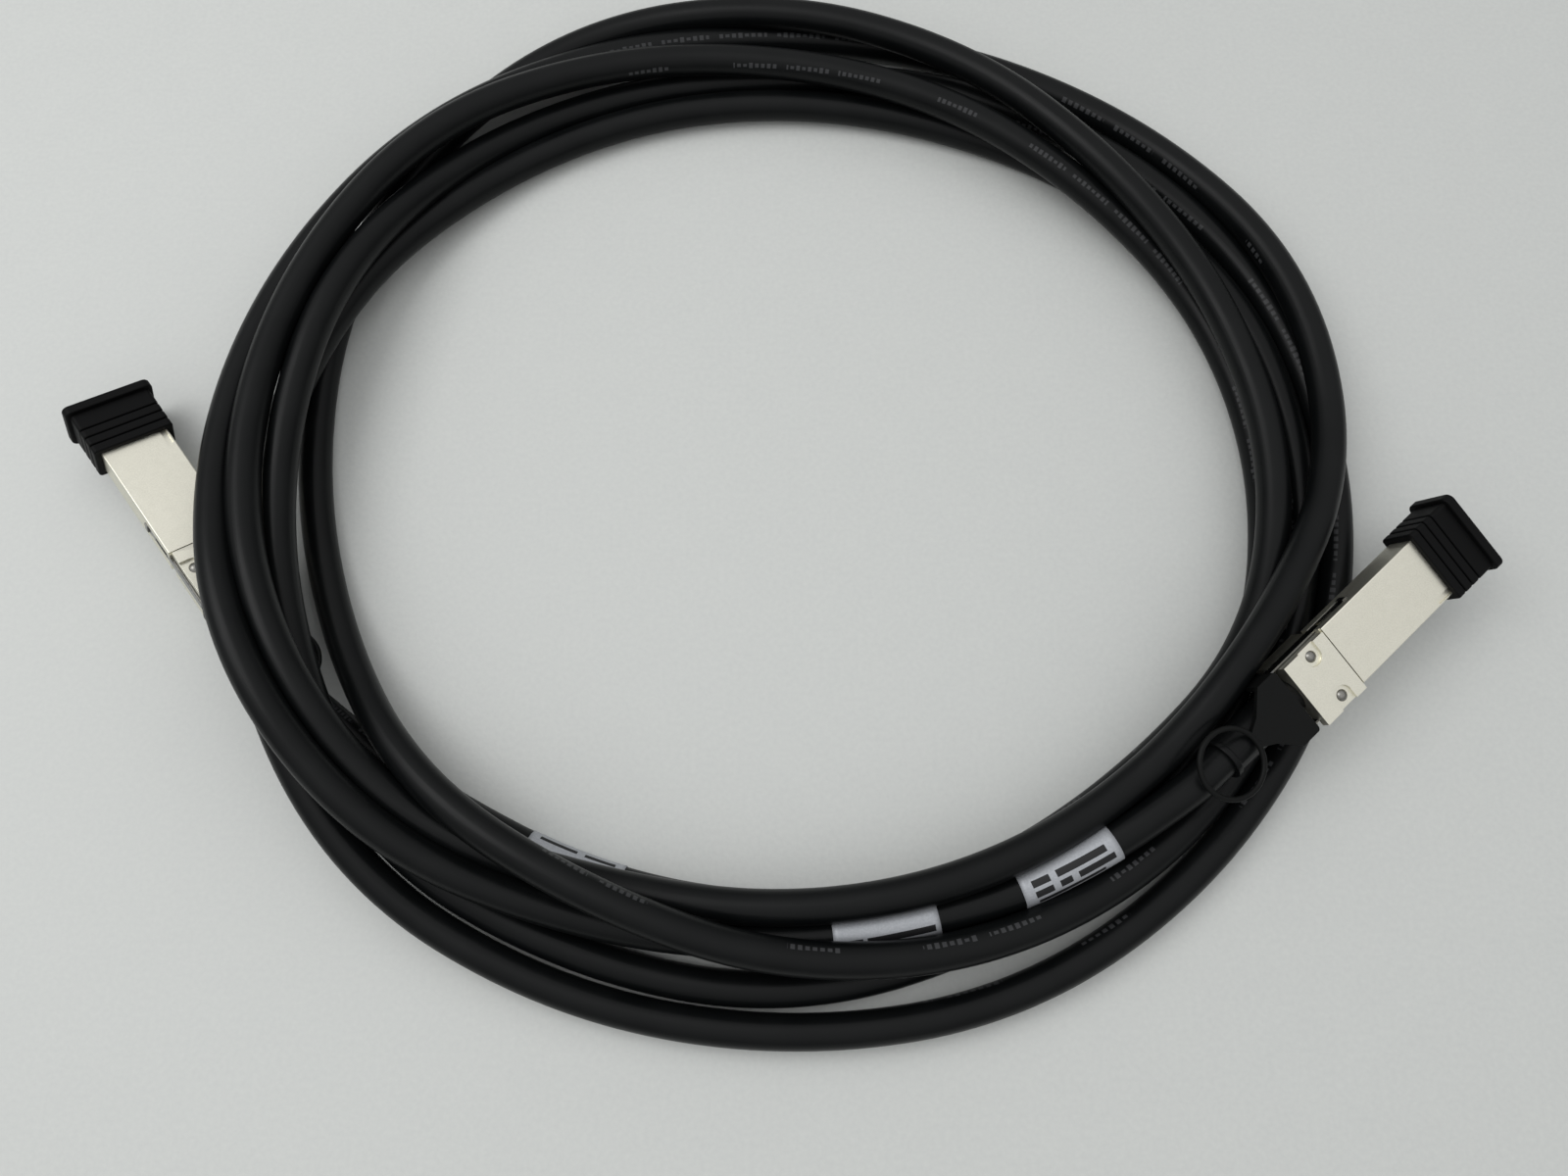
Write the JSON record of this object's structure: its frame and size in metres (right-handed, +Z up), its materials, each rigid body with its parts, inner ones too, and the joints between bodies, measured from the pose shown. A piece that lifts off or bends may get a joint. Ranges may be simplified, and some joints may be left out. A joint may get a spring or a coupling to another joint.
{
  "type": "external sas cable",
  "caption": "Round black storage cable in a loose coil, with a flat metal plug, dust cap and ring pull tab on each end.",
  "frame": {"origin": "on the table under the middle of the box round the two plugs", "axes": "+Z up from the table, +X from the left plug towards the right plug"},
  "size_m": [0.3944, 0.332, 0.0456],
  "materials": {
    "shell": "satin nickel on cast zinc",
    "rivet": "bright domed rivet",
    "card": "green circuit board",
    "gold": "gold plated",
    "pair_sleeve": "foil wrapped",
    "mould": "matte",
    "brass": "plain",
    "boot": "satin black",
    "latch_steel": "dark bright steel",
    "tab": "satin charcoal",
    "cap": "matte black",
    "jacket": "satin black"
  },
  "bodies": {
    "cable": {"cable_coil": "jacket", "left_lower_shell": "shell", "left_nose_cover": "shell", "left_rear_cover": "shell", "left_shell_rivets": "rivet", "left_paddle_card": "card", "left_contact_pads": "gold", "left_pair_wires": "pair_sleeve", "left_inner_mould": "mould", "left_crimp_ferrule": "brass", "left_boot": "boot", "left_cable_lead": "jacket", "right_lower_shell": "shell", "right_nose_cover": "shell", "right_rear_cover": "shell", "right_shell_rivets": "rivet", "right_paddle_card": "card", "right_contact_pads": "gold", "right_pair_wires": "pair_sleeve", "right_inner_mould": "mould", "right_crimp_ferrule": "brass", "right_boot": "boot", "right_cable_lead": "jacket"},
    "left_latch": {"left_latch_slider": "latch_steel", "left_return_springs": "latch_steel", "left_pull_tab": "tab"},
    "left_cap": {"left_dust_cap": "cap"},
    "right_latch": {"right_latch_slider": "latch_steel", "right_return_springs": "latch_steel", "right_pull_tab": "tab"},
    "right_cap": {"right_dust_cap": "cap"}
  },
  "joints": [
    {"name": "left_latch_pull", "type": "slide", "parent": "cable", "child": "left_latch", "axis": [0.6142, -0.789, -0.0175], "range_m": [0, 0.0025], "stiffness_N_per_m": 700, "springref_m": -0.002},
    {"name": "left_cap_pull", "type": "slide", "parent": "cable", "child": "left_cap", "axis": [-0.6142, 0.789, 0.0175], "range_m": [0, 0.025]},
    {"name": "right_latch_pull", "type": "slide", "parent": "cable", "child": "right_latch", "axis": [-0.7442, -0.6677, 0.0175], "range_m": [0, 0.0025], "stiffness_N_per_m": 700, "springref_m": -0.002},
    {"name": "right_cap_pull", "type": "slide", "parent": "cable", "child": "right_cap", "axis": [0.7442, 0.6677, -0.0175], "range_m": [0, 0.025]}
  ]
}
